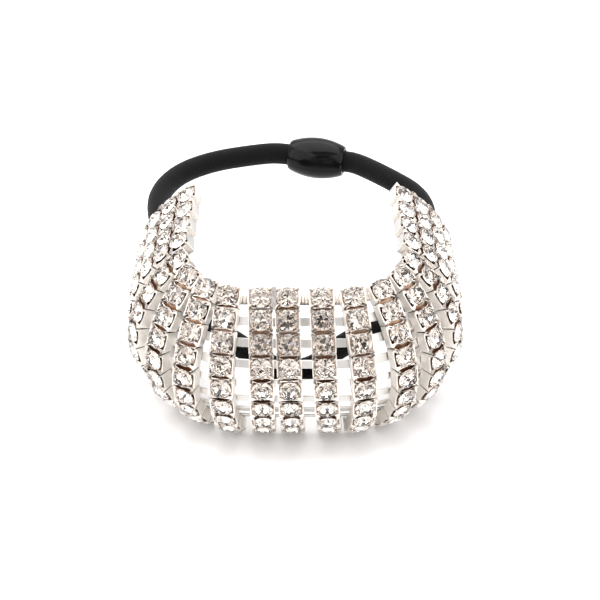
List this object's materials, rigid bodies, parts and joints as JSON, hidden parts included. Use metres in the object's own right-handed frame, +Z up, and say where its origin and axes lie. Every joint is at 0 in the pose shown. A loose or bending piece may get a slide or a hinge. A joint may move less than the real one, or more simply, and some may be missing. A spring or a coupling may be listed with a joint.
{
  "type": "hair tie",
  "caption": "Elastic hair tie: a bulging silver band of square cup-set rhinestones on the front of a black loop, with a barrel bead over the joint at the back.",
  "frame": {"origin": "middle of the foot of the whole tie's bounding box, on the surface that it rests on", "axes": "+X to the wearer's left as seen from the front of the band, +Y from the band's front back towards the bead, +Z up, along the way that hair passes through the loop"},
  "size_m": [0.0628, 0.0768, 0.0327],
  "materials": {
    "silver_plate": "bright silver plate on stamped brass",
    "crystal": "clear, foil-backed, brilliant cut",
    "elastic": "matte fine-knit black cover over rubber",
    "bead": "glossy black"
  },
  "bodies": {
    "root": {"metal_band": "silver_plate", "stones": "crystal", "elastic_loop": "elastic", "loop_bead": "bead"}
  },
  "joints": []
}
